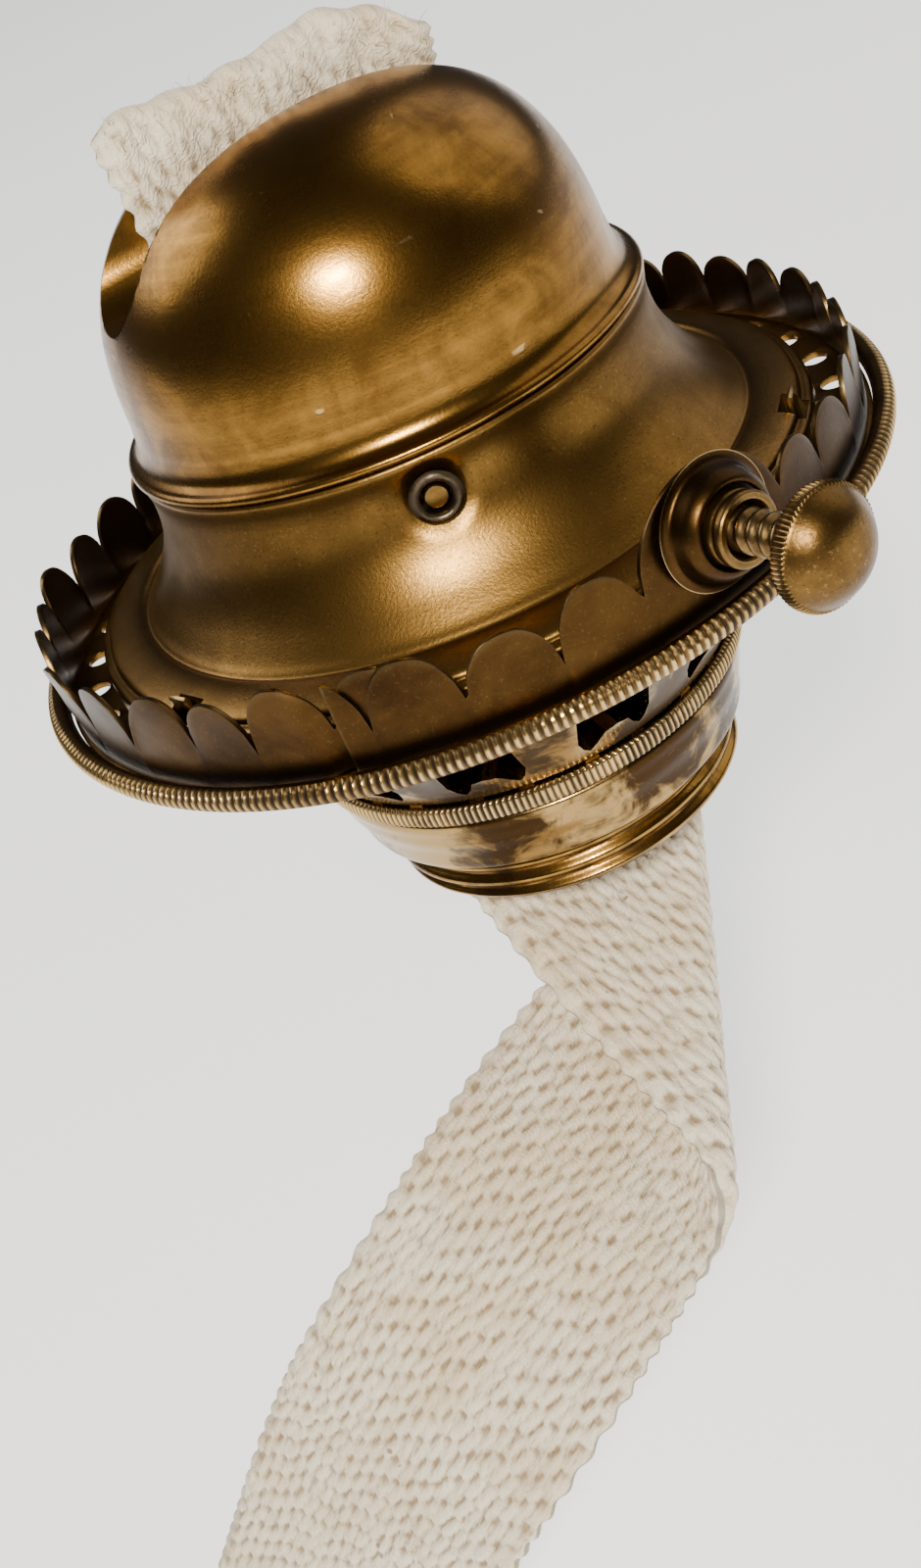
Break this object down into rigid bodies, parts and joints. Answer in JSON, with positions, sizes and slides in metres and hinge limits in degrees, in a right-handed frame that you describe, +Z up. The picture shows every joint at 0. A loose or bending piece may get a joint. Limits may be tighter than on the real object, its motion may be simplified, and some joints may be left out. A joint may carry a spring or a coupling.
{
  "type": "flat-wick lamp burner",
  "caption": "Brass flat-wick burner with a slotted dome cone, scalloped chimney gallery with a thumbscrew, threaded collar and a hanging woven wick.",
  "frame": {"origin": "on the burner's axis, in the plane of the seat that rests on the font's collar", "axes": "+Z up along the burner's axis towards the dome, X along the wick's width and the flame slot, -Y towards the front rivet's side"},
  "size_m": [0.1044, 0.0824, 0.1393],
  "materials": {
    "brass": "satin",
    "pale_brass": "satin",
    "dark_brass": "matte",
    "grey_metal": "satin",
    "cotton": "matte"
  },
  "bodies": {
    "burner_body": {"threaded_collar": "brass", "base_cup": "pale_brass", "lower_milled_bead": "pale_brass", "air_basket": "pale_brass", "gallery_deck": "brass", "gallery_rim": "brass", "coronet": "dark_brass", "screw_boss": "dark_brass", "screw_bushing": "brass", "catch_1": "brass", "catch_2": "brass", "catch_3": "brass", "wick_tube": "dark_brass", "tube_base_plate": "dark_brass", "draught_plate": "dark_brass", "vent_tube": "dark_brass", "outer_bearing": "brass", "inner_bearing": "brass"},
    "cone": {"cone_skirt": "brass", "dome": "brass", "front_eyelet": "grey_metal", "rear_eyelet": "grey_metal", "front_rivet": "brass", "rear_rivet": "brass", "front_spring": "grey_metal", "rear_spring": "grey_metal"},
    "spindle": {"raiser_shaft": "grey_metal", "feed_wheel_left": "brass", "feed_wheel_right": "brass", "raiser_knob": "brass"},
    "wick": {"wick": "cotton"},
    "screw_slide": {"screw_pad": "brass"},
    "thumbscrew": {"thumbscrew_stem": "brass", "thumbscrew_head": "brass"}
  },
  "joints": [
    {"name": "cone_lift", "type": "slide", "parent": "burner_body", "child": "cone", "axis": [0, 0, 1], "range_m": [0, 0.045]},
    {"name": "raiser_turn", "type": "hinge", "parent": "burner_body", "child": "spindle", "pos_m": [0, 0.00495, 0.0144], "axis": [-1, 0, 0], "range_deg": [-180, 70]},
    {"name": "wick_feed", "type": "slide", "parent": "burner_body", "child": "wick", "axis": [0, 0, 1], "range_m": [-0.01, 0.0039]},
    {"name": "screw_turn", "type": "hinge", "parent": "screw_slide", "child": "thumbscrew", "pos_m": [0.00653, -0.03703, 0.0284], "axis": [-0.1736, 0.9848, 0], "range_deg": [0, 1440]},
    {"name": "screw_travel", "type": "slide", "parent": "burner_body", "child": "screw_slide", "axis": [-0.1736, 0.9848, 0], "range_m": [0, 0.0044]}
  ],
  "couplings": [
    {"joint": "raiser_turn", "follows": "wick_feed", "rad_per_m": 312.5},
    {"joint": "screw_turn", "follows": "screw_travel", "rad_per_m": 5712}
  ]
}
